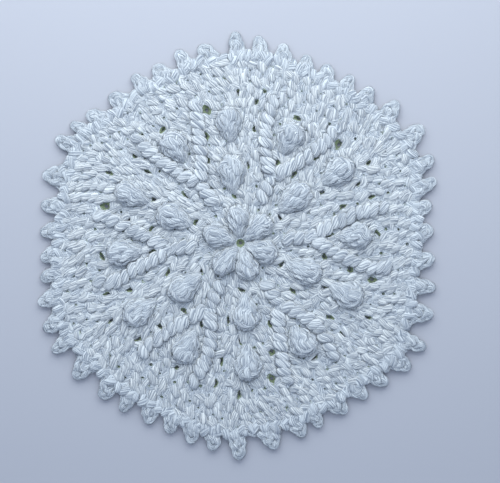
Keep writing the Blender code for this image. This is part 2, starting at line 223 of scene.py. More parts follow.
# The relief of plies and fibres in metres, and the noises that they follow along the yarn
PLY_RELIEF = 0.0002
RELIEF_STRENGTH = 0.9
NOISE_RUN = 0.05
FIBRE_SCALE = 7.0
WANDER_SCALE = 1.6
PLY_WANDER = 3.5
DEPTH_SCALE = 2.6
PLY_DEPTH = (-0.4, -1.3)

rng = np.random.default_rng(41)
picots = np.array(PICOTS)
foot_angles = picots[:, 0] + DIP_PAST_TIP
foot_radii = np.minimum(picots[:, 1], np.roll(picots[:, 1], -1)) - np.roll(picots[:, 2], -1)


def polar(angle, radius):
    """Plan points from their angles and radii."""
    turn = np.radians(angle)
    return np.stack([radius * np.cos(turn), radius * np.sin(turn)], axis=-1)


def edge_radius(angle):
    """How far out the feet of the picots are at an angle, averaged over a few of them."""
    apart = (np.asarray(angle)[..., None] - foot_angles + 180.0) % 360.0 - 180.0
    weight = np.exp(-((apart / EDGE_BLEND) ** 2))
    return (weight * foot_radii).sum(-1) / weight.sum(-1)


def stitch_tops(k):
    """Plan points of the tops of round k's stitches: each side's first is its corner."""
    angles = []
    for side in range(6):
        start = CORNERS[side]
        end = CORNERS[(side + 1) % 6] + (360.0 if side == 5 else 0.0)
        for i in range(2 * k):
            share = i / (2 * k)
            point = (1.0 - share) * polar(start, 1.0) + share * polar(end, 1.0)
            angles.append(math.degrees(math.atan2(point[1], point[0])))
    angles = np.array(angles)
    follow = (k / ROUNDS) ** EDGE_FOLLOW
    radii = ROUND_HIGH * k * (1.0 + follow * (edge_radius(angles) / EDGE_AT_CORNER - 1.0))
    return polar(angles, radii)


def smooth_path(points, step):
    """A path through the points (place, and girth if given) as an even run, step apart."""
    points = np.asarray(points, float)
    ends = np.vstack([2 * points[0] - points[1], points, 2 * points[-1] - points[-2]])
    a, b, c, d = ends[:-3], ends[1:-2], ends[2:-1], ends[3:]
    rows = []
    for t in np.linspace(0.0, 1.0, CURVE_PARTS, endpoint=False):
        bend = (2 * a - 5 * b + 4 * c - d) * t**2
        swing = (3 * b - a - 3 * c + d) * t**3
        rows.append(0.5 * (2 * b + (c - a) * t + bend + swing))
    fine = np.stack(rows, axis=1).reshape(-1, points.shape[1])
    fine = np.vstack([fine, points[-1:]])
    lengths = np.linalg.norm(np.diff(fine[:, :3], axis=0), axis=1)
    run = np.concatenate([[0.0], np.cumsum(lengths)])
    even = np.linspace(0.0, run[-1], max(4, int(run[-1] / step) + 1))
    return np.stack([np.interp(even, run, column) for column in fine.T], axis=1)


def work_stitch(foot, top, foot_across, top_across, shift):
    """A stitch's points carried from its own frame to the cloth, its loops a little uneven."""
    table = np.array(DOUBLE_CROCHET)
    table[:, 0] *= rng.uniform(*LOOP_SPREAD)
    table[:, 0] += rng.normal(0.0, LOOP_LEAN) * (table[:, 1] - 0.5 * ROUND_HIGH)
    share = (table[:, 1] / ROUND_HIGH)[:, None]
    held = np.clip(share, 0.0, STITCH_HELD)
    plan = foot + (top - foot) * share
    plan = plan + (foot_across * (1.0 - held) + top_across * held) * table[:, :1]
    plan = plan + shift * (1.0 - held)
    return np.column_stack([plan, LIE + (table[:, 2] - STITCH_LIE) * STITCH_PRESS])


def loosen(count):
    """Small shifts for a strand's points, alike for points next to each other."""
    shifts = rng.normal(0.0, LOOSE, (count, 3)) * (1.0, 1.0, LOOSE_UP)
    before = np.vstack([shifts[:1], shifts[:-1]])
    after = np.vstack([shifts[1:], shifts[-1:]])
    return LOOSE_OWN * shifts + LOOSE_SHARED * before + LOOSE_SHARED * after


def crochet_round(k):
    """The yarn of round k as one path."""
    tops = stitch_tops(k)
    across = np.roll(tops, -1, axis=0) - np.roll(tops, 1, axis=0)
    across = across / (2.0 * STITCH_WIDE)
    if k > 1:
        below = stitch_tops(k - 1)
        below_across = np.roll(below, -1, axis=0) - np.roll(below, 1, axis=0)
        below_across = below_across / (2.0 * STITCH_WIDE)
    path = []
    for number in range(12 * k):
        side, i = divmod(number, 2 * k)
        if k == 1:
            outward = tops[number] / np.linalg.norm(tops[number])
            foot = outward * (MIDDLE_HOLE + FIRST_FOOT)
            foot_across = across[number] * FIRST_FOOT_WIDE
            shift = np.zeros(2)
        elif i in (0, 1, 2 * k - 1):
            corner = side + (1 if i == 2 * k - 1 else 0)
            parent = (corner % 6) * 2 * (k - 1)
            foot = below[parent]
            slot = {0: 0.0, 1: 1.0, 2 * k - 1: -1.0}[i]
            shift = below_across[parent] * slot * CORNER_SPREAD
            foot_across = below_across[parent] * CORNER_FOOT
        else:
            parent = side * 2 * (k - 1) + i - 1
            drift = FOOT_DRIFT * (k % 2)
            foot = (1.0 - drift) * below[parent] + drift * below[(parent + 1) % len(below)]
            foot_across = below_across[parent]
            shift = np.zeros(2)
        jog = rng.normal(0.0, TOP_JOG, 2)
        stitch = work_stitch(foot, tops[number] + jog, foot_across, across[number], shift)
        path.append(stitch + loosen(len(stitch)))
    return np.vstack(path)


def popcorn_share(plan, angle, inner, outer, width):
    """How far plan points are from a popcorn's crown, as a share of the way to its foot."""
    offset = plan - polar(angle, 0.5 * (inner + outer))
    forward = offset @ polar(angle, 1.0) / (0.5 * (outer - inner))
    sideways = offset @ polar(angle + 90.0, 1.0) / (0.5 * width * (1.0 + POPCORN_EGG * forward))
    return np.hypot(forward, sideways)


def rib_lines():
    """Each rib as three lines in plan: the straight part and its two arms."""
    lines = []
    for straight, smaller, larger in RIBS:
        fork = polar(straight, RIB_FORK)
        lines.append(np.array([polar(straight, RIB_START), fork]))
        for arm in (smaller, larger):
            bends = [polar(straight + off, radius) for off, radius in zip(arm, RIB_RADII)]
            lines.append(np.array([fork] + bends))
    return lines


def rib_distance(plan):
    """How far plan points are from the nearest rib."""
    nearest = np.full(len(plan), np.inf)
    for line in rib_lines():
        for start, end in zip(line[:-1], line[1:]):
            run = end - start
            share = np.clip((plan - start) @ run / (run @ run), 0.0, 1.0)
            away = np.linalg.norm(plan - start - share[:, None] * run, axis=1)
            nearest = np.minimum(nearest, away)
    return nearest


def rim_distance(plan):
    """How far out plan points are past the feet of the picots."""
    angles = np.degrees(np.arctan2(plan[..., 1], plan[..., 0]))
    return np.linalg.norm(plan, axis=-1) - edge_radius(angles)


def cloth_height(plan):
    """Height of the tops of the strands over the table at plan points."""
    high = np.where(rim_distance(plan) > 0.0, PICOT_HIGH, GROUND_HIGH)
    beside = np.clip(rib_distance(plan) / RIB_HALF_WIDTH, 0.0, 1.0)
    high = np.maximum(high, RIB_HIGH * np.sqrt(1.0 - beside**2))
    for row in POPCORNS:
        share = np.clip(popcorn_share(plan, *row), 0.0, 1.0)
        high = np.maximum(high, POPCORN_HIGH * np.sqrt(1.0 - share**2))
    return high


def swell(path):
    """The girth of the yarn along a path: thin where it is buried, and full where it shows."""
    share = np.clip((path[:, 2] - SWELL_FROM) / (SWELL_TO - SWELL_FROM), 0.0, 1.0)
    return np.column_stack([path, THIN + (THICK - THIN) * share])


def press(path):
    """The strands flattened where a popcorn or a rib lies on them."""
    plan = path[:, :2]
    cover = 1.0 - np.clip(rib_distance(plan) - 0.5 * RIB_HALF_WIDTH, 0.0, 1.0)
    for row in POPCORNS:
        under = COVER_FADE - COVER_FADE * popcorn_share(plan, *row)
        cover = np.maximum(cover, np.clip(under, 0.0, 1.0))
    pressed = path.copy()
    pressed[:, 2] = LIE + (path[:, 2] - LIE) * (1.0 - PRESSED * cover)
    return pressed


def open_gaps(path):
    """A path bent round each gap that it would cross, all on the side where it passes."""
    path = path.copy()
    for angle, radius, length, width, turn in GAPS * GAP_PASSES:
        along = polar(angle + turn, 0.5 * length + GAP_MARGIN)
        side = polar(angle + turn + 90.0, 0.5 * width + GAP_MARGIN)
        offset = path[:, :2] - polar(angle, radius)
        local = np.column_stack([offset @ along / (along @ along), offset @ side / (side @ side)])
        share = np.linalg.norm(local, axis=1)
        near = np.flatnonzero(share < GAP_REACH)
        for run in np.split(near, np.flatnonzero(np.diff(near) > 1) + 1):
            if len(run) < 3 or share[run].min() >= 1.0:
                continue
            closest = run[share[run].argmin()]
            ahead = local[min(closest + 1, len(path) - 1)] - local[max(closest - 1, 0)]
            sideways = np.array([-ahead[1], ahead[0]]) / max(1e-6, np.linalg.norm(ahead))
            gap = local[closest] @ sideways
            sideways = sideways * (1.0 if gap > 0.0 else -1.0)
            fade = np.exp(-(((run - closest) * RING_STEP / GAP_FADE) ** 2))[:, None]
            shift = sideways * (1.0 - abs(gap)) * fade
            path[run, :2] += shift[:, :1] * along + shift[:, 1:] * side
    return path


def map_yarn(mesh, step):
    """Two maps: the length and the turn of the yarn, for its threads, and strips side by side."""
    sides = YARN_SIDES
    corners = np.empty(len(mesh.loops), np.int32)
    mesh.loops.foreach_get("vertex_index", corners)
    ring = corners // sides
    side = corners % sides
    totals = np.empty(len(mesh.polygons), np.int32)
    mesh.polygons.foreach_get("loop_total", totals)
    starts = np.concatenate([[0], np.cumsum(totals)[:-1]])
    lowest = np.minimum.reduceat(side, starts).repeat(totals)
    highest = np.maximum.reduceat(side, starts).repeat(totals)
    closing = (side == 0) & (lowest == 0) & (highest == sides - 1)
    around = (side + sides * closing) / sides
    first = np.minimum.reduceat(ring, starts).repeat(totals)
    threads = mesh.uv_layers.new(name="threads")
    place = np.column_stack([ring * step, around])
    threads.data.foreach_set("uv", place.ravel().astype(np.float32))
    rings = ring.max() + 1
    strip = 2.0 * math.pi * YARN_RADIUS
    row_rings = int(math.sqrt(rings * strip / step)) + 1
    row = first // row_rings
    rows = row.max() + 1
    along = (ring - row * row_rings) / (row_rings + 1)
    across = (row + STRIP_EDGE + (1.0 - 2.0 * STRIP_EDGE) * around) / rows
    strips = mesh.uv_layers.new(name="OFBake")
    place = np.column_stack([along, across])
    strips.data.foreach_set("uv", place.ravel().astype(np.float32))


def yarn_curve(paths, step):
    """The paths as a curve with the yarn's section, which turns along it with the plies."""
    profile = bpy.data.curves.new("section", "CURVE")
    profile.dimensions = "2D"
    ring = profile.splines.new("POLY")
    ring.points.add(YARN_SIDES - 1)
    for index, point in enumerate(ring.points):
        turn = 2.0 * math.pi * index / YARN_SIDES
        point.co = (YARN_RADIUS * MM * math.cos(turn), YARN_RADIUS * MM * math.sin(turn), 0.0, 1.0)
    ring.use_cyclic_u = True
    section = bpy.data.objects.new("section", profile)
    bpy.context.collection.objects.link(section)
    curve = bpy.data.curves.new("yarn", "CURVE")
    curve.dimensions = "3D"
    curve.bevel_mode = "OBJECT"
    curve.bevel_object = section
    curve.twist_mode = "MINIMUM"
    for path in paths:
        spline = curve.splines.new("POLY")
        spline.points.add(len(path) - 1)
        place = np.column_stack([(path[:, :2] + middle) * MM, path[:, 2] * MM, np.ones(len(path))])
        spline.points.foreach_set("co", place.ravel())
        along = np.arange(len(path)) * step
        spline.points.foreach_set("tilt", 2.0 * math.pi * along / PLY_TURN)
        spline.points.foreach_set("radius", path[:, 3])
    strand = bpy.data.objects.new("yarn", curve)
    bpy.context.collection.objects.link(strand)
    return strand, section


def yarn_piece(name, paths, step, shade=1.0, top_shade=0.0):
    """The yarn as a closed mesh piece, flat where it lies on the table. The painted shade value that
    picks its colour is grey-blue at the tops, and grows by shade towards the deepest yarn."""
    strand, section = yarn_curve(paths, step)
    graph = bpy.context.evaluated_depsgraph_get()
    mesh = bpy.data.meshes.new_from_object(strand.evaluated_get(graph))
    mesh.name = name
    bpy.data.objects.remove(strand)
    bpy.data.objects.remove(section)
    place = np.empty(3 * len(mesh.vertices), np.float32)
    mesh.vertices.foreach_get("co", place)
    rings = place.reshape(-1, YARN_SIDES, 3)
    centres = rings.mean(axis=1, keepdims=True)
    rings = centres + (rings - centres) * (YARN_SPREAD, YARN_SPREAD, YARN_FLAT)
    place = rings.reshape(-1)
    place[2::3] = np.maximum(place[2::3], 0.0)
    mesh.vertices.foreach_set("co", place)
    # Painted shade: grey-blue at the tops, darker with the depth under the cloth's tops, fading near
    # the table
    painted_shade = mesh.attributes.new("painted_shade", "FLOAT", "POINT")
    plan = place.reshape(-1, 3)[:, :2] / MM - middle
    high = place[2::3] / MM
    deep = np.minimum((cloth_height(plan) - high) / CREVICE_DEEP, high / CREVICE_FLOOR)
    painted_shade.data.foreach_set("value", top_shade + shade * np.clip(deep, 0.0, 1.0))
    shell = bmesh.new()
    shell.from_mesh(mesh)
    ends = [edge for edge in shell.edges if edge.is_boundary]
    bmesh.ops.holes_fill(shell, edges=ends, sides=0)
    shell.to_mesh(mesh)
    shell.free()
    map_yarn(mesh, step)
    mesh.polygons.foreach_set("use_smooth", [True] * len(mesh.polygons))
    mesh.materials.clear()
    mesh.materials.append(cotton)
    piece = bpy.data.objects.new(name, mesh)
    bpy.context.collection.objects.link(piece)
    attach(piece, "root")
    return piece


def add_node(tree, kind, *values, **settings):
    """A node with its settings and its first inputs: numbers, or other nodes' outputs."""
    node = tree.nodes.new(kind)
    for name, value in settings.items():
        setattr(node, name, value)
    for socket, value in zip(node.inputs, values):
        if isinstance(value, bpy.types.NodeSocket):
            tree.links.new(value, socket)
        elif value is not None:
            socket.default_value = value
    return node.outputs


def uneven(tree, spot, scale, detail, spread, low, high):
    """Noise over the yarn, of which the part within spread of the middle runs low to high."""
    noise = add_node(tree, "ShaderNodeTexNoise", spot, None, scale, detail, 0.5)[0]
    return add_node(tree, "ShaderNodeMapRange", noise, 0.5 - spread, 0.5 + spread, low, high)[0]


def cotton_finish():
    """White cotton: the threads of each ply, their fibres, and painted shade in crevices and furrows.
    """
    material = bpy.data.materials.new("white cotton")
    material.use_nodes = True
    tree = material.node_tree
    shader = tree.nodes["Principled BSDF"]
    shader.inputs["Roughness"].default_value = 0.85
    shader.inputs["Diffuse Roughness"].default_value = 1.0
    shader.inputs["Sheen Weight"].default_value = 0.25
    place = add_node(tree, "ShaderNodeUVMap", uv_map="threads")[0]
    parts = add_node(tree, "ShaderNodeSeparateXYZ", place)
    turns = add_node(tree, "ShaderNodeMath", parts[1], 2.0 * math.pi, operation="MULTIPLY")[0]
    east = add_node(tree, "ShaderNodeMath", turns, operation="COSINE")[0]
    north = add_node(tree, "ShaderNodeMath", turns, operation="SINE")[0]
    run = add_node(tree, "ShaderNodeMath", parts[0], NOISE_RUN, operation="MULTIPLY")[0]
    spot = add_node(tree, "ShaderNodeCombineXYZ", east, north, run)[0]
    fibres = uneven(tree, spot, FIBRE_SCALE, 2.0, 0.2, 0.0, 1.0)
    wander = uneven(tree, spot, WANDER_SCALE, 1.0, 0.2, -PLY_WANDER, PLY_WANDER)
    plies = add_node(tree, "ShaderNodeMath", turns, 1.0 * PLIES, wander, operation="MULTIPLY_ADD")[0]
    plies = add_node(tree, "ShaderNodeMath", plies, operation="COSINE")[0]
    depth = uneven(tree, spot, DEPTH_SCALE, 1.0, 0.15, *PLY_DEPTH)
    high = add_node(tree, "ShaderNodeMath", plies, depth, fibres, operation="MULTIPLY_ADD")[0]
    bump = tree.nodes.new("ShaderNodeBump")
    bump.inputs["Strength"].default_value = RELIEF_STRENGTH
    bump.inputs["Distance"].default_value = PLY_RELIEF
    tree.links.new(high, bump.inputs["Height"])
    tree.links.new(bump.outputs[0], shader.inputs["Normal"])
    # Painted shade from the mesh: white at the tops, grey-blue, then olive deep in the crevices
    painted_shade = add_node(tree, "ShaderNodeAttribute", attribute_name="painted_shade")[2]
    ramp = tree.nodes.new("ShaderNodeValToRGB")
    ramp.color_ramp.elements[0].color = COTTON_WHITE
    ramp.color_ramp.elements.new(SHADE_GREY_AT).color = COTTON_SHADE_GREY
    ramp.color_ramp.elements[2].position = DEEP_SHADE_AT
    ramp.color_ramp.elements[2].color = COTTON_DEEP_SHADE
    tree.links.new(painted_shade, ramp.inputs[0])
    # The ply furrows are painted darker as shade, on top of the shading that the bump gives
    lit = add_node(tree, "ShaderNodeMapRange", high, FURROW_AT, TOP_AT, 0.0, 1.0)[0]
    ply_shade = tree.nodes.new("ShaderNodeMix")
    ply_shade.data_type = "RGBA"
    ply_shade.inputs[6].default_value = PLY_FURROW_SHADE
    ply_shade.inputs[7].default_value = PLY_TOP
    tree.links.new(lit, ply_shade.inputs[0])
    shaded_colour = tree.nodes.new("ShaderNodeMix")
    shaded_colour.data_type = "RGBA"
    shaded_colour.blend_type = "MULTIPLY"
    shaded_colour.inputs[0].default_value = 1.0
    tree.links.new(ramp.outputs[0], shaded_colour.inputs[6])
    tree.links.new(ply_shade.outputs[2], shaded_colour.inputs[7])
    tree.links.new(shaded_colour.outputs[2], shader.inputs["Base Color"])
    return material


cotton = cotton_finish()

# The cloth is shifted so that the box round its outline is centred on the origin.
rim = np.vstack([polar(picots[:, 0], picots[:, 1]), polar(foot_angles, foot_radii)])
middle = -0.5 * (rim.min(axis=0) + rim.max(axis=0))

yarns = []
for k in range(1, ROUNDS + 1):
    path = smooth_path(crochet_round(k), RING_STEP)
    yarns.append(press(open_gaps(swell(path))))
pieces = [yarn_piece("rounds_1_4", yarns[:4], RING_STEP)]
for k in range(5, ROUNDS + 1):
    pieces.append(yarn_piece("round_%d" % k, yarns[k - 1:k], RING_STEP))

# The popcorns: five double crochets of the same yarn worked into one stitch and drawn together at
# the top, so that they stand up as a hollow bobble, pointed at its inner end. Six of them make the
# middle's petals.

POPCORN_STEP = 1.0
POPCORN_FOOT = 2.6
POPCORN_WIDER = 1.12
POPCORN_TAIL = 0.3
# How far the outermost posts reach, as a share of the middle one's, and how soon the posts fan out
POPCORN_BELLY = 0.60
POPCORN_FAN = 0.62
# A post's height along it: how it climbs from the pointed end and falls at the blunt one
POPCORN_CLIMB = 0.5
POPCORN_BLUNT = 0.9
POPCORN_FALL = 5
POPCORN_PEAK = 0.767
# How the height goes down from the middle post to the outermost, and a strand's winding with it
POPCORN_SIDE = 0.95
POPCORN_SIDE_ROUND = 0.6
POPCORN_SIDE_DOWN = 0.8
# The winding of the yarn in a post, which is full from half way, and how unevenly it all lies
POPCORN_WIND = 0.72
POPCORN_WIND_UP = 0.6
POPCORN_WIND_FULL = 0.5
POPCORN_WRAPS = 2.3
POPCORN_POINTS = 21
POPCORN_LEAN = 4.0
POPCORN_UNEVEN = 0.10
# The yarn's girth at the pointed end, how much it grows by, and how fast
POPCORN_THIN = 0.60
POPCORN_GROWTH = 0.56
POPCORN_GROWS = 1.6
# The bearings of its posts as they fan out from the pointed end, and of the strands inside
POPCORN_POSTS = (-82.0, -56.0, -30.0, -4.0, 22.0, 48.0, 74.0)
POPCORN_INSIDE = (-60.0, -22.0, 16.0, 54.0)
INSIDE_OUT = -0.8
# The closing chain, from side to side of the blunt end. Columns: share of the way to it; height
POPCORN_CLOSING = ((0.90, 0.45), (1.0, -0.9))
CLOSING_BEARINGS = range(-88, 89, 16)
CLOSING_UNEVEN = 0.25
# The painted shade that depth brings to a popcorn, and the grey-blue shade painted over its tops
POPCORN_SHADE = 0.45
POPCORN_TOP_SHADE = 0.32


def on_popcorn(row, across, along, out, bearing):
    """A point on a popcorn: along a post of that bearing, across it, and outward from it."""
    angle, inner, outer, width = row
    turn = math.radians(bearing)
    inner = inner - POPCORN_TAIL
    long = outer - inner - YARN_RADIUS
    half_width = 0.5 * POPCORN_WIDER * width - YARN_RADIUS
    forward = along * long * (POPCORN_BELLY + (1.0 - POPCORN_BELLY) * math.cos(turn))
    sideways = half_width * math.sin(turn) * max(0.0, along) ** POPCORN_FAN
    sideways += across * math.cos(turn) + out * math.sin(turn)
    climb = max(0.0, along) ** POPCORN_CLIMB
    fall = math.sqrt(max(0.0, 1.0 - POPCORN_BLUNT * along**POPCORN_FALL))
    profile = climb * fall / POPCORN_PEAK
    side = math.cos(POPCORN_SIDE * turn) ** POPCORN_SIDE_ROUND
    rise = (POPCORN_HIGH - YARN_RADIUS - POPCORN_FOOT) * profile * side
    rise += out * math.cos(turn) - POPCORN_SIDE_DOWN * across * math.sin(turn)
    plan = polar(angle, inner + forward) + polar(angle + 90.0, sideways)
    return (plan[0], plan[1], POPCORN_FOOT + max(0.0, rise))


def crochet_popcorn(row):
    """A popcorn's strands: those of its posts, those inside, and the chain that closes it."""
    strands = []
    for bearing in POPCORN_POSTS + POPCORN_INSIDE:
        inside = bearing in POPCORN_INSIDE
        begin = rng.uniform(0.0, 2.0 * math.pi)
        lean = rng.normal(0.0, POPCORN_LEAN)
        points = []
        for along in np.linspace(0.0, 1.0, POPCORN_POINTS):
            wind = POPCORN_WIND * min(1.0, along / POPCORN_WIND_FULL)
            phase = begin + 2.0 * math.pi * POPCORN_WRAPS * along
            across = 0.0 if inside else wind * math.sin(phase)
            out = INSIDE_OUT if inside else POPCORN_WIND_UP * wind * math.cos(phase)
            girth = POPCORN_THIN + POPCORN_GROWTH * min(1.0, POPCORN_GROWS * along)
            points.append(on_popcorn(row, across, along, out, bearing + lean) + (girth,))
        points = np.array(points)
        points[:, :3] += rng.normal(0.0, POPCORN_UNEVEN, (len(points), 3))
        strands.append(points)
    for along, out in POPCORN_CLOSING:
        points = []
        for bearing in CLOSING_BEARINGS:
            across = rng.normal(0.0, CLOSING_UNEVEN)
            points.append(on_popcorn(row, across, along, out, bearing) + (1.0,))
        strands.append(np.array(points))
    return [smooth_path(strand, POPCORN_STEP) for strand in strands]


bobbles = []
for row in POPCORNS:
    bobbles.extend(crochet_popcorn(row))
pieces.append(yarn_piece("popcorns", bobbles, POPCORN_STEP, POPCORN_SHADE, POPCORN_TOP_SHADE))

# The ribs: double crochets of the same yarn, hooked round the posts of the round below, so that
# they lie on the right side as a rope. Each rib starts at a petal and forks round a popcorn.

RIB_STEP = 0.8
RIB_LINE_STEP = 0.6
# The rope's axis, and the winding round it, which is flatter than it is wide
RIB_AXIS = 4.9
RIB_WIND = 1.7
RIB_FLAT = 0.45
RIB_PITCH = 4.3
RIB_GIRTH = 1.5
# Where one post ends and the next begins: how long a post is, how far it is drawn in, how sharply
RIB_POST_LONG = 12.4
RIB_PINCH = 0.22
RIB_PINCH_SHARP = 8
# How far the ends of a rib go down into the cloth, and over what length
RIB_DIVE = 2.4
RIB_DIVE_LONG = 3.0
# How unevenly the winding runs on, over what length, how unevenly the strand lies, and how far
# below the axis the strand inside is
RIB_DRIFT = 0.9
RIB_DRIFT_LONG = 5.0
RIB_DRIFT_STEP = 0.05
RIB_UNEVEN = 0.08
RIB_INSIDE = 0.5
# The painted shade that depth brings to a rib, and the grey-blue shade painted over its tops
RIB_SHADE = 0.6
RIB_TOP_SHADE = 0.2


def leftward(path):
    """The unit directions to the left of a plan path, at each of its points."""
    ahead = np.gradient(path, axis=0)
    ahead = ahead / np.linalg.norm(ahead, axis=1)[:, None]
    return np.column_stack([-ahead[:, 1], ahead[:, 0]])


def crochet_rib(line):
    """A rib's yarn, wound round its posts and drawn in between them, and the strand inside."""
    path = smooth_path(np.column_stack([line, np.zeros(len(line))]), RIB_LINE_STEP)[:, :2]
    left = leftward(path)
    along = np.arange(len(path)) * RIB_LINE_STEP
    full = 1.0 - RIB_PINCH * np.cos(math.pi * along / RIB_POST_LONG) ** RIB_PINCH_SHARP
    from_end = np.minimum(along, along[-1] - along)
    dive = RIB_DIVE * np.clip(1.0 - from_end / RIB_DIVE_LONG, 0.0, 1.0) ** 2
    drifts = rng.normal(0.0, RIB_DRIFT, (int(along[-1] / RIB_DRIFT_LONG) + 3, 3))
    slow = smooth_path(drifts, RIB_DRIFT_STEP)[:, 0]
    slow = np.interp(along, np.linspace(0.0, along[-1], len(slow)), slow)
    turn = 2.0 * math.pi * along / RIB_PITCH + slow
    across = RIB_WIND * full * np.sin(turn)
    high = RIB_AXIS + RIB_WIND * RIB_FLAT * full * np.cos(turn) - dive
    wound = np.column_stack([path + left * across[:, None], high, RIB_GIRTH * full])
    wound[:, :3] += rng.normal(0.0, RIB_UNEVEN, (len(wound), 3))
    inside = np.column_stack([path, RIB_AXIS - RIB_INSIDE - dive, RIB_GIRTH * full])
    return [smooth_path(wound, RIB_STEP), smooth_path(inside[::4], RIB_STEP)]


ropes = []
for line in rib_lines():
    ropes.extend(crochet_rib(line))
pieces.append(yarn_piece("ribs", ropes, RIB_STEP, RIB_SHADE, RIB_TOP_SHADE))

# The edging: single crochets of the same yarn into the last round, with a picot of three chains at
# every second stitch. Each picot leans anticlockwise: a long slope, and then a steep side.

PICOT_STEP = 0.95
PICOT_GIRTH = 0.86
# The chains of a picot, from its foot round its tip. Columns: share of the way between the dips
# before and after it; share of the climb to the tip; height.
PICOT_CHAINS = (
    (0.18, -1.0, 2.4), (0.28, -0.3, 3.0), (0.43, 0.20, 3.1), (0.56, 0.60, 2.8), (0.67, 0.86, 2.4),
    (0.76, 0.84, 2.4), (0.81, 0.48, 2.8), (0.80, 0.0, 3.1), (0.78, -0.8, 2.4),
)
CHAIN_STEP = 0.8
# The two strands of the chains: how far each is from their line, and how they wind round it
PICOT_APART = 0.66
PICOT_WIND = 0.5
PICOT_PITCH = 5.0
PICOT_UNEVEN = 0.08
# How far the yarn's axis stays inside the edge, in the chains and in the strands between them
CHAIN_OUT = -0.95
BETWEEN_OUT = -0.8
# The strand between the two sides of the loop, and the one along the dip before the picot
PICOT_MIDDLE = (
    (0.46, -1.0, 2.4), (0.54, -0.2, 3.5), (0.64, 0.42, 3.6), (0.71, 0.30, 3.6), (0.66, -0.7, 2.8),
)
PICOT_DIP = (
    (-0.16, -0.3, 1.6), (-0.06, -0.12, 2.6), (0.06, -0.06, 2.8), (0.20, 0.04, 2.8), (0.32, 0.16, 2.0),
)
# How unevenly they lie, and how much thinner their ends are
BETWEEN_UNEVEN = 0.2
TAPER = 0.35
# The single crochets at its foot: shares of the way between the dips
PICOT_FEET = (-0.08, 0.10, 0.27, 0.44, 0.61, 0.79)
# One of them, from the inside outwards. Columns: distance from the dip; height
FOOT_LOOP = ((-4.7, 1.2), (-3.8, 3.1), (-2.3, 4.1), (-0.9, 3.6), (0.3, 1.7))
# Its girth, how far each leans and bows by turns, how far out it is shifted, and how unevenly
FOOT_GIRTH = 1.2
FOOT_LEAN = 0.065
FOOT_LEAN_UNEVEN = 0.03
FOOT_BOW = 0.045
FOOT_SHIFT = (-1.6, 0.6)
FOOT_UNEVEN = 0.25
# The painted shade that depth brings to the edging, and the grey-blue shade painted over its tops
PICOT_SHADE = 0.2
PICOT_TOP_SHADE = 0.35


def crochet_picot(row):
    """A picot's strands, between the dip before it and the dip after it."""
    angle, tip, after_dip = PICOTS[row]
    before_angle, before_tip, dip = PICOTS[row - 1]
    after_tip = PICOTS[(row + 1) % len(PICOTS)][1]
    start = before_angle + DIP_PAST_TIP
    span = (angle - before_angle) % 360.0
    first_foot = min(tip, before_tip) - dip
    last_foot = min(tip, after_tip) - after_dip

    def place(share, climb, out):
        foot = first_foot + (last_foot - first_foot) * min(1.0, max(0.0, share))
        return tuple(polar(start + span * share, foot + (tip - foot) * climb + out))

    points = [place(share, climb, CHAIN_OUT) + (high,) for share, climb, high in PICOT_CHAINS]
    path = smooth_path(points, CHAIN_STEP)
    left = leftward(path[:, :2])
    begin = rng.uniform(0.0, 2.0 * math.pi)
    strands = []
    for side in (-1.0, 1.0):
        turn = begin + 2.0 * math.pi * CHAIN_STEP * np.arange(len(path)) / PICOT_PITCH
        wind = PICOT_WIND * (1.0 + 0.5 * side)
        plan = path[:, :2] + left * (PICOT_APART * side + wind * np.sin(turn))[:, None]
        high = path[:, 2] + wind * np.cos(turn)
        strand = np.column_stack([plan, high, np.full(len(path), PICOT_GIRTH)])
        strand[:, :3] += rng.normal(0.0, PICOT_UNEVEN, (len(strand), 3))
        strands.append(strand)
    for route in (PICOT_MIDDLE, PICOT_DIP):
        points = []
        for share, climb, high in route:
            points.append(place(share, climb, BETWEEN_OUT) + (high, PICOT_GIRTH))
        points = np.array(points)
        points[:, :3] += rng.normal(0.0, BETWEEN_UNEVEN, (len(points), 3))
        points[[0, -1], 3] *= 1.0 - TAPER
        strands.append(points)
    for number, share in enumerate(PICOT_FEET):
        way = 1.0 if number % 2 else -1.0
        lean = FOOT_LEAN * way + rng.normal(0.0, FOOT_LEAN_UNEVEN)
        shift = rng.uniform(*FOOT_SHIFT)
        points = []
        for index, (out, high) in enumerate(FOOT_LOOP):
            bow = FOOT_BOW * way * (1.0 - (0.5 * index - 1.0) ** 2)
            foot = place(share + lean * (index - 2) + bow, 0.0, out + shift)
            points.append(foot + (high, FOOT_GIRTH))
        points = np.array(points)
        points[:, :3] += rng.normal(0.0, FOOT_UNEVEN, (len(points), 3))
        points[[0, -1], 3] *= 1.0 - TAPER
        strands.append(points)
    return [smooth_path(strand, PICOT_STEP) for strand in strands]


edging = []
for row in range(len(PICOTS)):
    edging.extend(crochet_picot(row))
pieces.append(yarn_piece("picot_edging", edging, PICOT_STEP, PICOT_SHADE, PICOT_TOP_SHADE))

# The ground of the cloth: the strands that lie buried between the right side and the back, as one
# thin sheet at half the cloth's thickness. It has the cloth's outline and its gaps, and the small
# holes that the stitches leave.

SHEET_BOTTOM = 1.6
SHEET_THICK = 2.15
SHEET_INSET = 2.3
RIM_SINK = 1.1
# Columns: degrees past the tip's angle, share of the climb from the dip to the tip
PICOT_SHAPE = ((-2.4, 0.30), (-0.9, 0.60), (0.4, 0.60), (1.2, 0.25))
# A gap's width in the sheet, as a share of its own: at the bottom, at the top, and at the top of
# the hole in the middle. Its corners, and how unevenly they lie
GAP_BELOW = 0.4
GAP_ABOVE = 1.3
MIDDLE_ABOVE = 1.1
GAP_CORNERS = 8
GAP_TURN = 0.3
GAP_UNEVEN = (0.8, 1.2)
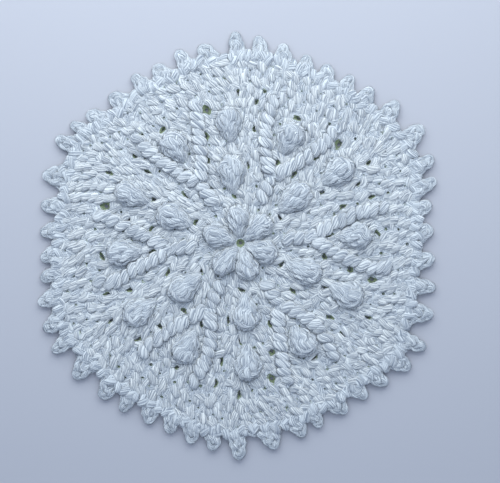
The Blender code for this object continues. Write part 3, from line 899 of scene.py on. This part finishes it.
# The small holes: how closely they are looked for, and the height from which strands cover one.
# Of a nearly closed one and an open one: how clear of strands it is, its radius, and how dark the
# shade painted on the strands round it is. Then how far and how high that shade goes, how uneven a
# hole is, and how far it is from the next one, from a gap and from the rim
HOLE_PITCH = 1.1
COVER_HEIGHT = 2.9
HOLE_CLEAR = (-0.9, 0.5)
HOLE_RADIUS = (0.4, 0.85)
HOLE_SHADE = (0.5, 0.92)
HOLE_SHADE_MARGIN = 0.3
HOLE_TOP = 4.7
HOLE_CORNERS = 6
HOLE_UNEVEN = (0.65, 1.3)
HOLE_APART = 4.8
HOLE_FROM_GAP = 4.0
HOLE_FROM_RIM = 5.0
# The sheet's painted shade in the walls of its gaps and everywhere else, the height of a normal
# from which a face is no wall, and how unevenly the threads turn
WALL_SHADE = 1.0
FACE_SHADE = 0.4
LEVEL = 0.9
THREAD_TURN = 0.5


def sheet_rim():
    """The sheet's outline, anticlockwise: each dip, and then the picot after it."""
    points = []
    for row, (angle, tip, _) in enumerate(PICOTS):
        before_angle, before_tip, dip = PICOTS[row - 1]
        foot = min(tip, before_tip) - dip
        points.append(polar(before_angle + DIP_PAST_TIP, foot - SHEET_INSET))
        for past, climb in PICOT_SHAPE:
            points.append(polar(angle + past, foot + climb * (tip - foot) - SHEET_INSET))
    return points


def gap_rim(angle, radius, length, width, turn):
    """The uneven outline of a gap at the sheet's bottom."""
    centre = polar(angle, radius)
    along = polar(angle + turn, 0.5 * length * GAP_BELOW)
    side = polar(angle + turn + 90.0, 0.5 * width * GAP_BELOW)
    points = []
    for corner in range(GAP_CORNERS):
        bearing = 2.0 * math.pi * (corner + rng.uniform(-GAP_TURN, GAP_TURN)) / GAP_CORNERS
        offset = along * math.cos(bearing) + side * math.sin(bearing)
        points.append(centre + offset * rng.uniform(*GAP_UNEVEN))
    return points


def hole_rim(x, y, openness):
    """The uneven outline of a small hole."""
    radius = np.interp(openness, (0.0, 1.0), HOLE_RADIUS)
    apart = 360.0 / HOLE_CORNERS
    turn = rng.uniform(0.0, apart)
    points = []
    for corner in range(HOLE_CORNERS):
        away = radius * rng.uniform(*HOLE_UNEVEN)
        points.append(np.array((x, y)) + polar(turn + apart * corner, away))
    return points


def stitch_holes():
    """The small holes where the strands of the stitches leave room: plan points and openness."""
    strands = np.vstack(yarns + bobbles + ropes)
    strands = strands[strands[:, 2] > COVER_HEIGHT]
    nearest = mathutils.kdtree.KDTree(len(strands))
    for index, point in enumerate(strands):
        nearest.insert((point[0], point[1], 0.0), index)
    nearest.balance()
    open_spots = []
    steps = np.arange(-EDGE_AT_CORNER, EDGE_AT_CORNER, HOLE_PITCH)
    for x in steps:
        for y in steps:
            if math.hypot(x, y) <= MIDDLE_HOLE + HOLE_FROM_GAP:
                continue
            if rim_distance(np.array((x, y))) >= -HOLE_FROM_RIM:
                continue
            _, index, away = nearest.find((x, y, 0.0))
            clear = away - YARN_RADIUS * YARN_SPREAD * strands[index, 3]
            if clear > HOLE_CLEAR[0]:
                open_spots.append((clear, x, y))
    taken = np.array([polar(row[0], row[1]) for row in GAPS])
    holes = []
    for clear, x, y in sorted(open_spots, reverse=True):
        apart = np.hypot(taken[:, 0] - x, taken[:, 1] - y)
        if apart[:len(GAPS)].min() < HOLE_FROM_GAP or apart.min() < HOLE_APART:
            continue
        taken = np.vstack([taken, (x, y)])
        openness = (clear - HOLE_CLEAR[0]) / (HOLE_CLEAR[1] - HOLE_CLEAR[0])
        holes.append((x, y, min(1.0, openness)))
    return np.array(holes)


def shade_holes(piece, holes):
    """The strands of a piece painted with shade where they go down into a small hole."""
    mesh = piece.data
    place = np.empty(3 * len(mesh.vertices), np.float32)
    mesh.vertices.foreach_get("co", place)
    place = place.reshape(-1, 3) / MM
    plan = place[:, :2] - middle
    painted_shade = np.empty(len(plan), np.float32)
    mesh.attributes["painted_shade"].data.foreach_get("value", painted_shade)
    for x, y, openness in holes:
        radius = HOLE_SHADE_MARGIN + np.interp(openness, (0.0, 1.0), HOLE_RADIUS)
        near = np.flatnonzero((abs(plan[:, 0] - x) < radius) & (abs(plan[:, 1] - y) < radius))
        inside = np.hypot(*(plan[near] - (x, y)).T) < radius
        near = near[inside & (place[near, 2] < HOLE_TOP)]
        shade = np.interp(openness, (0.0, 1.0), HOLE_SHADE)
        painted_shade[near] = np.maximum(painted_shade[near], shade)
    mesh.attributes["painted_shade"].data.foreach_set("value", painted_shade)


# The outlines on the sheet's bottom: its rim, the middle hole, the gaps and then the small holes
middle_rim = []
for corner in range(GAP_CORNERS):
    middle_rim.append(polar(360.0 * corner / GAP_CORNERS, MIDDLE_HOLE * GAP_BELOW))
loops = [sheet_rim(), middle_rim]
loops.extend(gap_rim(*row) for row in GAPS)
holes_from = len(loops)
holes = stitch_holes()
loops.extend(hole_rim(*hole) for hole in holes)
for piece in pieces[:-1]:
    shade_holes(piece, holes)
sheet = bmesh.new()
for loop in loops:
    verts = []
    for x, y in loop:
        place = ((x + middle[0]) * MM, (y + middle[1]) * MM, SHEET_BOTTOM * MM)
        verts.append(sheet.verts.new(place))
    for here, there in zip(verts, verts[1:] + verts[:1]):
        sheet.edges.new((here, there))
bmesh.ops.triangle_fill(sheet, edges=sheet.edges, use_beauty=True)
raised = bmesh.ops.extrude_face_region(sheet, geom=sheet.faces, use_keep_orig=True)
lifted = [item for item in raised["geom"] if isinstance(item, bmesh.types.BMVert)]
bmesh.ops.translate(sheet, verts=lifted, vec=(0.0, 0.0, SHEET_THICK * MM))

# Its top: gaps widen upwards, and the rim sinks
corner_points = np.vstack(loops)
corner_loops = np.repeat(np.arange(len(loops)), [len(loop) for loop in loops])
for vert in lifted:
    plan = np.array(vert.co[:2]) / MM - middle
    loop = corner_loops[np.hypot(*(corner_points - plan).T).argmin()]
    if 0 < loop < holes_from:
        centre = np.mean(loops[loop], axis=0)
        above = GAP_ABOVE if loop > 1 else MIDDLE_ABOVE
        widened = centre + (plan - centre) * above / GAP_BELOW + middle
        vert.co.x = widened[0] * MM
        vert.co.y = widened[1] * MM
    if rim_distance(plan) > -HOLE_FROM_RIM:
        vert.co.z -= RIM_SINK * MM
bmesh.ops.recalc_face_normals(sheet, faces=sheet.faces)
# The fill leaves the faces in a chance order, so they are put in the order of their corners.
sheet.verts.index_update()
ordered = sorted(sheet.faces, key=lambda face: sorted(vert.index for vert in face.verts))
for index, face in enumerate(ordered):
    face.index = index
sheet.faces.sort()
flat_area = sum(face.calc_area() for face in sheet.faces if face.normal.z < -0.5)
ground_mesh = bpy.data.meshes.new("ground")
sheet.to_mesh(ground_mesh)
sheet.free()
ground_mesh.materials.append(cotton)

# Its painted shade, and its threads, which turn a little from face to face
ground_mesh.attributes.new("painted_shade", "FLOAT", "CORNER")
ground_mesh.uv_layers.new(name="threads")
depth = ground_mesh.attributes["painted_shade"].data
threads = ground_mesh.uv_layers["threads"].data
for face in ground_mesh.polygons:
    inner = rim_distance(np.array(face.center[:2]) / MM - middle) < -HOLE_FROM_RIM
    shade = WALL_SHADE if inner and abs(face.normal.z) < LEVEL else FACE_SHADE
    turn = math.atan2(face.center.y, face.center.x) + rng.normal(0.0, THREAD_TURN)
    for corner in face.loop_indices:
        depth[corner].value = shade
        x, y, _ = ground_mesh.vertices[ground_mesh.loops[corner].vertex_index].co / MM
        along = x * math.cos(turn) + y * math.sin(turn)
        across = y * math.cos(turn) - x * math.sin(turn)
        threads[corner].uv = (along, across / (2.0 * math.pi * YARN_RADIUS))
ground = bpy.data.objects.new("ground", ground_mesh)
bpy.context.collection.objects.link(ground)
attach(ground, "root")
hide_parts("dishcloth")

# The board that the cloth lies on, painted a pale bluish grey. Soft daylight comes from a window
# past its far side, with a pale ceiling over it, and the camera looks straight down at it.

BOARD_WIDE = 8.0
BOARD_COLOUR = (0.49, 0.485, 0.507, 1.0)
BOARD_ROUGH = 0.8
DAYLIGHT_COLOUR = (0.61, 0.745, 1.0, 1.0)
DAYLIGHT_STRENGTH = 0.49
WINDOW_WIDE = 0.7
WINDOW_HIGH = 0.35
WINDOW_POWER = 2.4
WINDOW_COLOUR = (0.82, 0.89, 0.95)
WINDOW_PLACE = (-0.02, 0.30, 0.29)
WINDOW_TILT = (math.radians(-44.0), math.radians(-3.0), 0.0)
CEILING_WIDE = 0.9
CEILING_POWER = 2.7
CEILING_COLOUR = (0.63, 0.75, 0.96)
CEILING_HEIGHT = 0.9
# The camera's lens, the width of board in its view in metres, and the view's centre
SENSOR_WIDE = 36.0
LENS_LONG = 80.0
VIEW_WIDE = 0.2575
VIEW_CENTRE = (4.9, 0.8)

bpy.ops.mesh.primitive_plane_add(size=BOARD_WIDE)
floor = bpy.context.object
floor.name = "floor"
board = bpy.data.materials.new("pale board")
board.use_nodes = True
board_shader = board.node_tree.nodes["Principled BSDF"]
board_shader.inputs["Base Color"].default_value = BOARD_COLOUR
board_shader.inputs["Roughness"].default_value = BOARD_ROUGH
floor.data.materials.append(board)

bpy.context.scene.view_settings.view_transform = "Standard"
world = bpy.data.worlds.new("studio")
bpy.context.scene.world = world
world.use_nodes = True
daylight = world.node_tree.nodes["Background"]
daylight.inputs["Color"].default_value = DAYLIGHT_COLOUR
daylight.inputs["Strength"].default_value = DAYLIGHT_STRENGTH
lamp = bpy.data.lights.new("window", "AREA")
lamp.shape = "RECTANGLE"
lamp.size = WINDOW_WIDE
lamp.size_y = WINDOW_HIGH
lamp.energy = WINDOW_POWER
lamp.color = WINDOW_COLOUR
lamp_object = bpy.data.objects.new("window", lamp)
lamp_object.location = WINDOW_PLACE
lamp_object.rotation_euler = WINDOW_TILT
bpy.context.collection.objects.link(lamp_object)
ceiling = bpy.data.lights.new("ceiling", "AREA")
ceiling.shape = "SQUARE"
ceiling.size = CEILING_WIDE
ceiling.energy = CEILING_POWER
ceiling.color = CEILING_COLOUR
ceiling_object = bpy.data.objects.new("ceiling", ceiling)
ceiling_object.location = (0.0, 0.0, CEILING_HEIGHT)
bpy.context.collection.objects.link(ceiling_object)

lens = bpy.data.cameras.new("camera")
lens.sensor_width = SENSOR_WIDE
lens.lens = LENS_LONG
camera = bpy.data.objects.new("camera", lens)
view_x, view_y = (np.array(VIEW_CENTRE) + middle) * MM
camera.location = (view_x, view_y, VIEW_WIDE * LENS_LONG / SENSOR_WIDE)
bpy.context.collection.objects.link(camera)
bpy.context.scene.camera = camera
